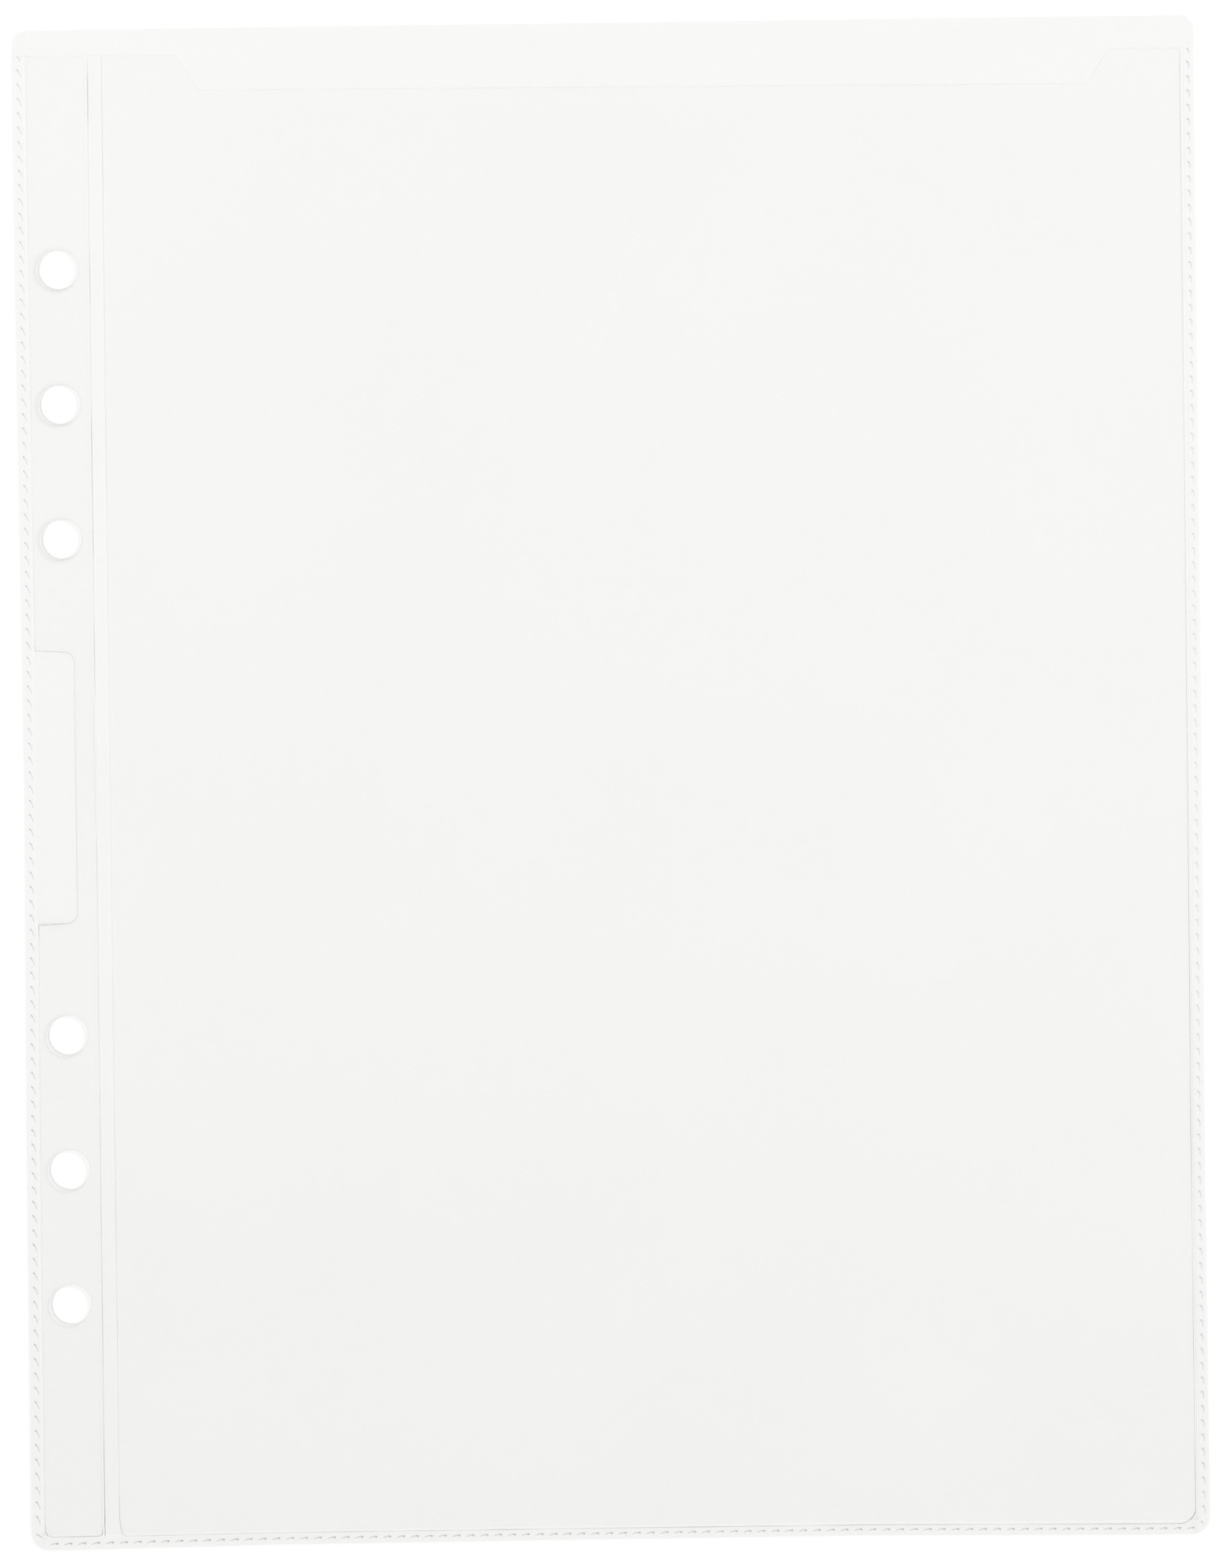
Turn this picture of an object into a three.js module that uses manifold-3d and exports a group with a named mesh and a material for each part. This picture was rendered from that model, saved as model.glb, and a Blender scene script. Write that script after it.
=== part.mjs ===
// A clear punched envelope for a six-ring A5 binder: two films, welded along the left, bottom and right edges
// and along a bar that parts the ring margin from the pocket. The pocket is open at the top, where its front
// film has a thumb notch and the back film stands above it as a lip.
//
// Units are millimetres. The page lies flat: X runs across it from the ring margin, Y up it to the mouth, and
// Z through it towards the front film. Outlines are drawn from the page's lower left corner, and the whole page
// is then centred on the origin, with the back film's outer face at Z = 0.

import * as THREE from "three";
import { mergeVertices } from "three/addons/utils/BufferGeometryUtils.js";
import Module from "manifold-3d";

// Page
const pageWidth = 166.3;
const pageHeight = 214;
const topCornerRadius = 2;
const bottomCornerRadius = 2.5;

// Films, and the weld layer that parts them
const filmThickness = 0.2;
const weldLayerThickness = 0.3;
const edgeWeldWidth = 1.7;
const bottomWeldWidth = 1.9;

// Mouth: the back film's lip above the front film, and the thumb notch in the front film
const lipHeightLeft = 3.7;
const lipHeightRight = 4.5;
const notchFromLeft = 23;
const notchFromRight = 11.8;
const notchDepth = 4.9;
const notchSideRun = 3.1;

// Binding: a fused bar between two creases, on which the pocket turns about the ring margin
const creaseFromLeft = 10.5;
const creasePitch = 2;
const barThickness = 0.4;
const creaseToBar = 0.3;
const creaseToFilm = 0.5;
const webLap = 0.3;
const barLipLap = 0.5;

// Ring holes: three and three, with a wide gap between the two groups
const ringHoleDiameter = 5.85;
const ringHoleFromLeft = 6;
const ringHolePitch = 19;
const ringGroupGap = 70;
const holesInGroup = 3;

// Label panel: a plain welded patch beside the left edge weld, halfway up
const labelWidth = 6;
const labelHeight = 38.3;
const labelCornerRadius = 1.5;

// Fineness of round outlines
const arcSegments = 8;
const holeSegments = 32;

// Levels through the page
const weldBottom = filmThickness;
const weldTop = weldBottom + weldLayerThickness;
const pageTop = weldTop + filmThickness;
const barBottom = (pageTop - barThickness) / 2;
const barTop = (pageTop + barThickness) / 2;

// Distances from the left edge
const pocketCrease = creaseFromLeft + creasePitch;
const marginEnd = creaseFromLeft - creaseToFilm;
const marginWebStart = marginEnd - webLap;
const barStart = creaseFromLeft + creaseToBar;
const barEnd = pocketCrease - creaseToBar;
const pocketStart = pocketCrease + creaseToFilm;
const pocketWebEnd = pocketStart + webLap;
const rightWeldStart = pageWidth - edgeWeldWidth;
const panelStart = notchFromLeft + notchSideRun;
const panelEnd = pageWidth - notchFromRight - notchSideRun;

const wasm = await Module();
wasm.setup();

function solidFrom(geometry) {
  const plain = geometry.clone();
  plain.deleteAttribute("normal");
  plain.deleteAttribute("uv");
  const merged = mergeVertices(plain);
  const mesh = new wasm.Mesh({
    numProp: 3,
    vertProperties: merged.attributes.position.array,
    triVerts: new Uint32Array(merged.index.array),
  });
  return new wasm.Manifold(mesh);
}

function geometryFrom(solid) {
  const mesh = solid.getMesh();
  const geometry = new THREE.BufferGeometry();
  geometry.setAttribute("position", new THREE.BufferAttribute(mesh.vertProperties, 3));
  geometry.setIndex(new THREE.BufferAttribute(mesh.triVerts, 1));
  const flatShaded = geometry.toNonIndexed();
  flatShaded.computeVertexNormals();
  return flatShaded;
}

function slab(outline, bottom, top) {
  const depth = top - bottom;
  const geometry = new THREE.ExtrudeGeometry(outline, { depth, bevelEnabled: false, curveSegments: arcSegments });
  return geometry.translate(0, 0, bottom);
}

function rectangle(left, low, right, high) {
  const outline = new THREE.Shape();
  outline.moveTo(left, low);
  outline.lineTo(right, low);
  outline.lineTo(right, high);
  outline.lineTo(left, high);
  return outline;
}

// The two films and the weld layer share the page's lower edge, with its round corners.
function outlineFromBottomEdge() {
  const r = bottomCornerRadius;
  const outline = new THREE.Shape();
  outline.absarc(r, r, r, Math.PI, 1.5 * Math.PI);
  outline.absarc(pageWidth - r, r, r, 1.5 * Math.PI, 2 * Math.PI);
  return outline;
}

function backOutline() {
  const r = topCornerRadius;
  const outline = outlineFromBottomEdge();
  outline.absarc(pageWidth - r, pageHeight - r, r, 0, 0.5 * Math.PI);
  outline.absarc(r, pageHeight - r, r, 0.5 * Math.PI, Math.PI);
  return outline;
}

// The front film's top edge slants a little, because the lip above it is higher on the right.
function frontEdgeHeight(x) {
  const lip = lipHeightLeft + ((lipHeightRight - lipHeightLeft) * x) / pageWidth;
  return pageHeight - lip;
}

// The notch has slanted sides and a floor that runs along with the film's edge.
function frontOutline() {
  const left = notchFromLeft;
  const right = pageWidth - notchFromRight;
  const outline = outlineFromBottomEdge();
  outline.lineTo(pageWidth, frontEdgeHeight(pageWidth));
  outline.lineTo(right, frontEdgeHeight(right));
  outline.lineTo(panelEnd, frontEdgeHeight(panelEnd) - notchDepth);
  outline.lineTo(panelStart, frontEdgeHeight(panelStart) - notchDepth);
  outline.lineTo(left, frontEdgeHeight(left));
  outline.lineTo(0, frontEdgeHeight(0));
  return outline;
}

function ringHoleHeights() {
  const heights = [];
  for (const side of [-1, 1]) {
    for (let i = 0; i < holesInGroup; i += 1) {
      heights.push(pageHeight / 2 + side * (ringGroupGap / 2 + i * ringHolePitch));
    }
  }
  return heights;
}

// One hole through the whole page, longer than the page is thick.
function ringHole(height) {
  const radius = ringHoleDiameter / 2;
  const hole = new THREE.CylinderGeometry(radius, radius, 3 * pageTop, holeSegments);
  hole.rotateX(Math.PI / 2);
  return hole.translate(ringHoleFromLeft, height, pageTop / 2);
}

// A knife as thick as the page, between two distances from the left edge and two from the bottom edge.
function knife(left, right, low = 0, high = pageHeight) {
  return solidFrom(slab(rectangle(left, low, right, high), 0, pageTop));
}

function cutFrom(sheet, left, right, low, high) {
  return geometryFrom(sheet.intersect(knife(left, right, low, high)));
}

let backSheet = solidFrom(slab(backOutline(), 0, weldBottom));
let frontSheet = solidFrom(slab(frontOutline(), weldTop, pageTop));
const weldSheet = solidFrom(slab(frontOutline(), weldBottom, weldTop));
for (const height of ringHoleHeights()) {
  const hole = solidFrom(ringHole(height));
  backSheet = backSheet.subtract(hole);
  frontSheet = frontSheet.subtract(hole);
}

function labelPanel() {
  const left = edgeWeldWidth;
  const right = left + labelWidth;
  const low = (pageHeight - labelHeight) / 2;
  const high = (pageHeight + labelHeight) / 2;
  const r = labelCornerRadius;
  const outline = new THREE.Shape();
  outline.moveTo(left, high);
  outline.lineTo(left, low);
  outline.absarc(right - r, low + r, r, 1.5 * Math.PI, 2 * Math.PI);
  outline.absarc(right - r, high - r, r, 0, 0.5 * Math.PI);
  return slab(outline, weldBottom, weldTop);
}

// The fused bar ends where the front film does. Above it the back film alone goes on to the page's top edge.
function bindingBar() {
  const fusedEnd = frontEdgeHeight(pocketCrease);
  const bar = slab(rectangle(barStart, 0, barEnd, fusedEnd), barBottom, barTop);
  const lip = slab(rectangle(barStart, fusedEnd - barLipLap, barEnd, pageHeight), 0, filmThickness);
  return geometryFrom(solidFrom(bar).add(solidFrom(lip)));
}

// The front film's border stays with the welds round the pocket. It is what is left when the panel is cut out.
function frontBorder() {
  const pocketFilm = frontSheet.intersect(knife(pocketStart, pageWidth));
  return geometryFrom(pocketFilm.subtract(knife(panelStart, panelEnd, bottomWeldWidth)));
}

// The web of film that bends at a crease: held between the films at one end, and meeting the bar at the other.
function creaseWeb(left, right) {
  return slab(rectangle(left, 0, right, pageHeight), weldBottom, weldTop);
}

const clearFilm = { color: 0xf2f3ee, roughness: 0.12, metalness: 0, transparent: true, opacity: 0.35 };
const fusedFilm = { color: 0xe4e6df, roughness: 0.3, metalness: 0, transparent: true, opacity: 0.6 };

function addPiece(group, name, geometry, finish) {
  const mesh = new THREE.Mesh(geometry, new THREE.MeshStandardMaterial(finish));
  mesh.name = name;
  group.add(mesh);
}

// Ring margin: the part that stays on the binder's rings
const margin = new THREE.Group();
addPiece(margin, "back_film_margin", cutFrom(backSheet, 0, marginEnd), clearFilm);
addPiece(margin, "front_film_margin", cutFrom(frontSheet, 0, marginEnd), clearFilm);
addPiece(margin, "left_edge_weld", cutFrom(weldSheet, 0, edgeWeldWidth), fusedFilm);
const bottomWeldInMargin = cutFrom(weldSheet, edgeWeldWidth, marginWebStart, 0, bottomWeldWidth);
addPiece(margin, "bottom_weld_margin", bottomWeldInMargin, fusedFilm);
addPiece(margin, "label_panel_weld", labelPanel(), fusedFilm);
addPiece(margin, "margin_crease_web", creaseWeb(marginWebStart, barStart), fusedFilm);

// Binding bar: turns at both of its creases
const binding = new THREE.Group();
addPiece(binding, "binding_weld_bar", bindingBar(), fusedFilm);

// Pocket: the back film, the welds round it, and the front film's border on them
const pocket = new THREE.Group();
addPiece(pocket, "pocket_crease_web", creaseWeb(barEnd, pocketWebEnd), fusedFilm);
addPiece(pocket, "back_film_pocket", cutFrom(backSheet, pocketStart, pageWidth), clearFilm);
const bottomWeldInPocket = cutFrom(weldSheet, pocketWebEnd, rightWeldStart, 0, bottomWeldWidth);
addPiece(pocket, "bottom_weld_pocket", bottomWeldInPocket, fusedFilm);
addPiece(pocket, "right_edge_weld", cutFrom(weldSheet, rightWeldStart, pageWidth), fusedFilm);
addPiece(pocket, "front_film_border", frontBorder(), clearFilm);

// Pocket front: the film below the notch, which lifts at the mouth
const pocketFront = new THREE.Group();
const frontPanel = cutFrom(frontSheet, panelStart, panelEnd, bottomWeldWidth);
addPiece(pocketFront, "front_film_panel", frontPanel, clearFilm);

const envelope = new THREE.Group();
envelope.add(margin, binding, pocket, pocketFront);
envelope.position.set(-pageWidth / 2, -pageHeight / 2, 0);

export default envelope;
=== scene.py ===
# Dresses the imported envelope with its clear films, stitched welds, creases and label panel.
#
# Shapes are worked out in millimetres from the page's lower left corner. A mesh is turned into metres
# round the page's centre when it is made. Heights through the page start at the back film's outer face.
#
# Each point of a mesh carries how dense the film is there, its mark from -1 for clear to 1 for dark, and
# its distance from the fine lines with their strength. The marks and lines are painted shade and painted
# highlights along the film's edges, creases, stitches and holes. The film material makes its opacity from
# these, and darkens its colour along the dark marks.

import math

import bmesh
import bpy
import numpy as np
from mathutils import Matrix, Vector, geometry, noise


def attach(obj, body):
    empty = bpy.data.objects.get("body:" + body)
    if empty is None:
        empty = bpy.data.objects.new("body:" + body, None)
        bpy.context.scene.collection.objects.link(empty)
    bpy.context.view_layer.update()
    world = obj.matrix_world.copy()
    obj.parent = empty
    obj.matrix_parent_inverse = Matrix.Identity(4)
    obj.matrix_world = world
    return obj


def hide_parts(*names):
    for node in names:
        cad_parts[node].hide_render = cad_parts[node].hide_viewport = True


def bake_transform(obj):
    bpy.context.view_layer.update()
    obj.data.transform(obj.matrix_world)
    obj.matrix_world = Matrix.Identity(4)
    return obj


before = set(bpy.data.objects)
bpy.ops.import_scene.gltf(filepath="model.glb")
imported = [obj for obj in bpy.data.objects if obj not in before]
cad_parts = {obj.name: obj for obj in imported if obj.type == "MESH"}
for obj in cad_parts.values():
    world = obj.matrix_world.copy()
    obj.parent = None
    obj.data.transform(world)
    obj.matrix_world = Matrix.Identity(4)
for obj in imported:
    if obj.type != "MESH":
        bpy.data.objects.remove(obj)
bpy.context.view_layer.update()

# Page, as in the CAD part
PAGE_WIDTH = 166.3
PAGE_HEIGHT = 214.0
TOP_CORNER = 2.0
BOTTOM_CORNER = 2.5
EDGE_WELD = 1.7
BOTTOM_WELD = 1.9
RIGHT_END = PAGE_WIDTH - EDGE_WELD

# Mouth: the front film's top edge, with its thumb notch
LIP_LEFT = 3.7
LIP_RIGHT = 4.5
NOTCH_LEFT = 23.0
NOTCH_RIGHT = PAGE_WIDTH - 11.8
NOTCH_DEPTH = 4.9
NOTCH_RUN = 3.1
NOTCH_STEEPNESS = math.hypot(NOTCH_DEPTH, NOTCH_RUN) / NOTCH_RUN
MOUTH = (0, NOTCH_LEFT, NOTCH_LEFT + NOTCH_RUN, NOTCH_RIGHT - NOTCH_RUN, NOTCH_RIGHT, PAGE_WIDTH)
NOTCHED = (False, False, True, True, False, False)

# Heights through the page
FILM = 0.2
FRONT_LOW = 0.5
FRONT_TOP = 0.7
FRONT_DROP = 0.08
RAMP = 0.8
RAMP_START = 0.2
PANEL_LOW = 0.05
PANEL_TOP = 0.5
BAR_LOW = 0.15
BAR_TOP = 0.55
BAR_RISE = 0.75
BAR_RISE_START = 0.2
GROOVE_DEPTH = 0.07
GROOVE_REACH = 0.16

# Binding: the strips that bend, and the bar between them
MARGIN_END = 10.0
BAR_START = 11.0
BAR_END = 12.0
BAR_MIDDLE = (BAR_START + BAR_END) / 2
POCKET_START = 13.0
POCKET_MIDDLE = (POCKET_START + RIGHT_END) / 2
CREASE_A_FOOT = 10.42
CREASE_A_HEAD = 10.53
CREASE_B = 12.45
STRIP_STEP = 0.09
LIP_STEP = 0.005
LIP_CLEARANCE = 0.3
SEAMS = (EDGE_WELD, MARGIN_END, BAR_START, BAR_END, POCKET_START, POCKET_MIDDLE, RIGHT_END)
SEAM_REACH = 0.01

# Ring holes, which have slipped on each other in the two films
HOLE_X = 5.9
HOLE_RADIUS = 2.72
HOLE_HEIGHTS = (34.0, 53.0, 72.0, 142.0, 161.0, 180.0)
HOLE_SEGMENTS = 48
HOLE_CLEARANCE = 0.2
HOLE_SLIP_ACROSS = 0.22
HOLE_SLIP_FOOT = 0.162
HOLE_SLIP_HEAD = 0.054

# Label panel
LABEL_LEFT = EDGE_WELD
LABEL_RIGHT = 7.7
LABEL_LOW = 87.85
LABEL_HIGH = 126.15
LABEL_MIDDLE = (LABEL_LOW + LABEL_HIGH) / 2
LABEL_CORNER = 1.5
LABEL_INSET = 0.1

# The two cells between the welds, whose outlines show as fine lines of painted shade and highlight
MARGIN_CELL_LEFT = 1.96
MARGIN_CELL_LOW = 1.66
MARGIN_CELL_RIGHT = 10.4
MARGIN_CELL_CORNER = 1.0
POCKET_CELL_LEFT = 12.49
POCKET_CELL_LOW = 1.62
POCKET_CELL_FALL = 0.22
POCKET_CELL_RIGHT = PAGE_WIDTH - 1.9
POCKET_CELL_CORNERS = (1.1, 2.3)

# Grids of the films: where the fine steps near the welds end, and where the rows end below the mouth
FINE_ROWS_END = 3.9
MARGIN_FINE_END = 3.0
BESIDE_LABEL = LABEL_RIGHT - 0.3
POCKET_FINE_END = 14.5
POCKET_COARSE_END = 160.0
POCKET_LAST_FINE = 160.5
MARGIN_ROWS_END = 208.0
POCKET_ROWS_END = 209.0
LIP_ROW = 211.5
LABEL_ROWS = (LABEL_LOW - 0.5, LABEL_LOW + 1.8, LABEL_HIGH - 1.8, LABEL_HIGH + 0.5)
SLANT_STEPS = np.linspace(0.06, 0.94, 9)

# Steps of the grids: fine near the welds at the page's edge, coarse, and the last ones across
MARGIN_ROW_STEPS = (0.25, 2.2)
MARGIN_COLUMN_STEPS = (0.26, 1.1, 0.2)
POCKET_ROW_STEPS = (0.3, 4)
POCKET_COLUMN_STEPS = (0.3, 5, 0.4)
STRIP_ROW_STEP = 2.0
STRIP_LIP_STEP = 1.0
LABEL_COLUMN_STEP = 0.3
LABEL_ROW_STEP = 0.6

# Rows of stitches: how many, and the heights or distances across of the first and last
LEFT_ROW = (209.8, 3.71)
BOTTOM_ROW = (3.19, 163.6)
RIGHT_ROW = (3.14, 209.0)
SIDE_STITCHES = 103
BOTTOM_STITCHES = 83
CORNER_STITCHES = (0.31, 0.5)
RIGHT_WELD_START = 1.0

# Stitches pressed into the welds, with values for the left, bottom and right sides where they differ
STITCH_LENGTH = 1.05
STITCH_WIDTHS = (0.34, 0.4, 0.5)
STITCH_FROM_EDGE = (0.93, 0.62, 0.95)
STITCH_LEAN = (0.4, 0.25, 0.05)
STITCH_ROUNDNESS = 2.5
STITCH_DEPTH = 0.13
STITCH_UNDERSIDE = 0.35
STITCH_BAND = (0.18, 1.4)
STITCH_GAP = 0.04

# Rows of points across a weld, and its top and bottom as (distance from the page's edge, height)
CELL_SIDE = 6
OUTER_ROWS = (0.0, 0.05, 0.11, STITCH_BAND[0])
INNER_SHARES = (0.0, 0.2, 0.4, 0.5, 0.62, 0.74, 0.86, 1.0)
WELD_TOP = ((0.0, 0.4), (0.05, 0.46), (0.18, 0.5), (1.4, 0.5), (1.48, 0.45), (1.7, 0.6), (1.9, 0.62))
WELD_LOW = ((0.0, 0.12), (0.05, 0.08), (0.18, 0.05), (1.4, 0.05), (1.48, 0.08), (1.7, 0.0), (1.9, 0.0))
POINTS_PER_MM = 20000
PATH_STEP = 0.01

# Bow of the page's edges, which aren't quite straight, as (place along the edge, distance)
LEFT_DRIFT = ((10, 0.05), (56, 0.08), (107, 0.38), (157, 0.05), (203, -0.16))
RIGHT_DRIFT = ((10, 0.1), (56, 0.03), (107, 0.23), (157, 0.31), (203, 0.31))
BOTTOM_DRIFT = ((5, -0.5), (36, -0.07), (76, 0.06), (117, 0.14), (157, -0.26))
TOP_DRIFT = ((5, -0.15), (36, 0.1), (76, 0.11), (117, 0.19), (157, 0.09))
DRIFT_REACH = 5.0

# Chance variation, as (size of the patches, least, most)
WAVE_PATCHES = (18, 0.0, 0.06)
BACK_PATCHES = (23, 0.97, 1.03)
FRONT_PATCHES = (31, 0.9, 1.1)
MOUTH_PATCHES = (3, 0.3, 1.0)
BAR_PATCHES = (11, 0.6, 1.4)
WELD_PATCHES = (9, 0.4, 1.0)
CREASE_PATCHES = (2.5, 0.75, 1.25)
OUTLINE_PATCHES = (7, 0.4, 1.2)

# Density of the films: everywhere, and what comes on top lower down, at the upper right or below the mouth.
# The rise lower down is painted shade, darker towards the bottom, and the rise at the upper right is
# painted shade against the lamp's brighter light there
BACK_DENSITY = 0.072
BACK_DENSITY_LOW = 0.004
BACK_DENSITY_HIGH = 0.011
BACK_DENSITY_HIGH_END = 70
FRONT_DENSITY = 0.008
FRONT_DENSITY_LOW = 0.042
FRONT_DENSITY_MOUTH = 0.004
FRONT_DENSITY_MOUTH_END = 0.25
PANEL_DENSITY_SHARE = 0.9
WELD_DENSITY_SHARE = 0.58

# Rings round the ring holes: distance from the rim, mark, and density of the front film. The mark is
# painted shade, strongest on the side towards RIM_DARK_SIDE, at the lower left
RIM_KNOTS = (0.0, 0.1, 0.2, 0.32, 0.46, 0.8)
RIM_SHADE = (0.1, 0.2, 0.16, 0.05, 0.0, 0.0)
RIM_DENSITY = (0.07, 0.07, 0.07, 0.065, 0.05, 0.0)
RIM_DARK_SIDE = (-0.8, -0.6)
RIM_TURN = (-0.25, 0.85)
RIM_LEAST = 0.15
FRONT_RIM = 0.35
BACK_RIM = 1.0

# Marks along the mouth, a weld's inner side and the binding bar, as (distance or place, mark or strength):
# painted shade where a mark is above 0 and painted highlight where it is below 0
MOUTH_SHADE = ((0.0, -0.05), (0.08, 0.16), (0.18, 0.09), (0.3, 0.0))
WELD_LINE = ((1.4, 0.0), (1.44, 0.16), (1.47, 0.16), (1.54, -0.2), (1.62, -0.5), (1.7, 0.0))
BOTTOM_WELD_LINE = 0.15
BAR_SHADE = ((10.62, 0.0), (10.8, -0.42), (10.94, -0.16), (12.06, -0.16), (12.2, -0.4), (12.34, 0.0))
BAR_FADE = ((20, 0.28), (100, 0.55), (145, 1.0), (168, 0.8), (190, 0.4), (209, 0.35))

# Marks of a stitch, in rings from its rim inwards, and their strength over the page: painted shade on each
# stitch's side towards DARK_SIDE, the upper right, and painted highlights in its middle and on the side
# opposite
RING_SIZES = (1.4, 1.0, 0.65, 0.35)
RING_DEPTHS = (0.0, 0.3, 0.9, 1.0)
RING_SHADES = (0.0, 0.7, 0.08, 0.0)
CENTRE_SHADE = -0.7
DARK_SIDE = (0.7, 0.714)
DARK_SPREAD = 0.15
LIT_LEAST = -0.5
STITCH_FORCE = 0.74
STITCH_FORCE_LOW = 0.29
STITCH_FORCE_FALL = 0.35
RIGHT_STITCHES = ((0, 0.62), (30, 0.62), (80, 0.52), (130, 0.5), (180, 0.68), (210, 0.85))

# Strength of the painted shade line of the crease beside the ring margin, in stretches of (from, to,
# strength)
CREASE_A_STRETCHES = (
    (200.5, 208.3, 0.5),
    (175, 183, 0.3),
    (152, 160, 0.42),
    (140, 152, 0.32),
    (121, 131, 0.3),
    (101, 120, -0.15),
    (93.5, 99, 0.2),
    (39, 64, 0.22),
    (26, 39, 0.3),
    (5, 15, 0.26),
    (1, 5, 0.7),
)
CREASE_A_ELSEWHERE = 0.14
CREASE_A_LOW = (1.5, 1.9)
CREASE_A_STOP = 0.1

# Strength of the painted shade lines along the cells' outlines, in stretches of (from, to, strength)
CREASE_B_STRETCHES = ((188, 211, 0.36), (140, 188, 0.2), (80, 131, 0.07), (28, 70, 0.24), (1, 6, 0.45))
CREASE_B_ELSEWHERE = 0.16
MARGIN_STRETCHES = ((0, 3.4, 0.7), (3.4, 14, 0.24))
MARGIN_ELSEWHERE = 0.1
BOTTOM_STRETCHES = ((13.4, 30, 0.35), (30, 150, 0.5))
BOTTOM_ELSEWHERE = 0.6
BOTTOM_LINE_HIGH = BOTTOM_WELD + 0.5
RIGHT_STRETCHES = ((20, 110, 0.46), (110, 170, 0.38), (170, 215, 0.34))
RIGHT_ELSEWHERE = 0.6
LABEL_LINE = 0.35
LABEL_LINE_RIGHT = LABEL_RIGHT + 0.8
LABEL_LINE_HALF = 21
OUTLINE_STOP = 0.2
STRETCH_BLUR = 1.0

# Sections of the lines, as (distance, mark), and how far a section reaches. Each is a painted shade line,
# with painted highlights beside it where the mark is below 0.
CELL_LINE = ((-0.22, 0), (-0.13, -0.6), (-0.06, 0.2), (0.01, 1), (0.09, 0.1), (0.18, -0.3), (0.3, 0))
CELL_LINE_REACH = 0.5
CREASE_LINE = (
    (-0.46, 0),
    (-0.38, 0.08),
    (-0.31, 0),
    (-0.21, -1),
    (-0.11, 0),
    (0, 1),
    (0.1, 0),
    (0.2, -0.8),
    (0.32, 0),
)
CREASE_LINE_REACH = 0.6

# Angle between two faces from which the edge between them is sharp, in degrees
SHARP_ANGLE = 50

# Film material
CLEAR_TINT = (0.58, 0.585, 0.54)
FUSED_TINT = (0.58, 0.585, 0.545)
TINT_CHANGE = (0.99, 0.985, 0.97)
# Colour of the painted shade along dark marks, how fast the film turns to it, and the opacity those marks
# add
PAINTED_SHADE_COLOUR = (0.12, 0.11, 0.1)
PAINTED_SHADE_RISE = 3.0
DARK_OPACITY = 0.32
GRAZING_OPACITY = 0.1
GRAZING_POWER = 4.0
CLEAR_ROUGHNESS = 0.12
FUSED_ROUGHNESS = 0.22
ROUGHNESS_CHANGE = (-0.03, 0.05)
FILM_IOR = 1.5
GRAIN_PER_MM = 0.12
GRAIN_RANGE = (0.3, 0.7)
GRAIN_HEIGHT = 0.0002
GRAIN_STRENGTH = 0.15

# Camera, floor and light, in metres, degrees and watts
CAMERA_LENS = 130.13
CAMERA_SENSOR = 36
CAMERA_NEAR = 0.01
CAMERA_PLACE = (-0.00178, 0.00109, 0.8)
CAMERA_TURN = (-0.106, -0.126, -0.714)
FLOOR_DROP = 0.00005
FLOOR_SIZE = 3.0
FLOOR_COLOUR = (0.9, 0.9, 0.9, 1)
FLOOR_ROUGHNESS = 0.8
FLOOR_GLOW = 0.2
WORLD_LIGHT = 0.6
LAMP_SIZE = 3.6
LAMP_POWER = 172.0
LAMP_PLACE = (3.1, 2.6, 4.4)

# Curves, tables and outlines


def fade(value, start, end):
    """0 as far as start, 1 from end on, and smooth between them. Either may be the higher."""
    t = np.clip((value - start) / (end - start), 0, 1)
    return t * t * (3 - 2 * t)


def knots(table, value):
    """A value read from a table of (place, value) pairs."""
    return np.interp(value, [k for k, _ in table], [v for _, v in table])


def stretches(place, spans, elsewhere):
    """A strength along a line, from spans of (from, to, strength) that blur into each other."""
    strength = np.full(len(place), float(elsewhere))
    for low, high, value in spans:
        share = fade(place, low - STRETCH_BLUR, low + STRETCH_BLUR)
        share = share * fade(place, high + STRETCH_BLUR, high - STRETCH_BLUR)
        strength = strength * (1 - share) + value * share
    return strength


def ripple(x, y, size, least, most):
    """Smooth chance variation between two values, in patches of about that size."""
    places = np.column_stack([x, y]) / size
    values = np.array([noise.noise(Vector((u, v, size))) for u, v in places])
    return least + (most - least) * np.clip(0.5 + values, 0, 1)


def spread(*ends, step):
    """Positions from the first value to the last, with every value among them."""
    found = []
    for low, high in zip(ends, ends[1:]):
        count = max(1, math.ceil((high - low) / step))
        found += list(np.linspace(low, high, count, endpoint=False))
    return found + [ends[-1]]


def arc(x, y, radius, start, end, steps=8):
    """Points on a round corner, with its angles in degrees."""
    angles = np.radians(np.linspace(start, end, steps + 1))
    return [(x + radius * math.cos(a), y + radius * math.sin(a)) for a in angles]


def inside(points, loop):
    """Which of the points lie inside a closed loop."""
    x, y = points[:, 0], points[:, 1]
    found = np.zeros(len(points), bool)
    for (x0, y0), (x1, y1) in zip(loop, list(loop[1:]) + [loop[0]]):
        if y0 != y1:
            found ^= ((y0 > y) != (y1 > y)) & (x < x0 + (y - y0) * (x1 - x0) / (y1 - y0))
    return found


# The page's edges and lines


def front_edge(x):
    """Height of the front film's top edge beside the notch, which slants a little."""
    return PAGE_HEIGHT - LIP_LEFT - (LIP_RIGHT - LIP_LEFT) * x / PAGE_WIDTH


def mouth_edge(x):
    """Height of the front film's top edge, thumb notch included."""
    heights = [front_edge(k) - NOTCH_DEPTH * low for k, low in zip(MOUTH, NOTCHED)]
    return np.interp(x, MOUTH, heights)


def below_mouth(x, y):
    """Distance below the front film's top edge, measured square to it."""
    on_left_slant = (x > MOUTH[1]) & (x < MOUTH[2])
    on_right_slant = (x > MOUTH[3]) & (x < MOUTH[4])
    return (mouth_edge(x) - y) / np.where(on_left_slant | on_right_slant, NOTCH_STEEPNESS, 1)


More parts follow.
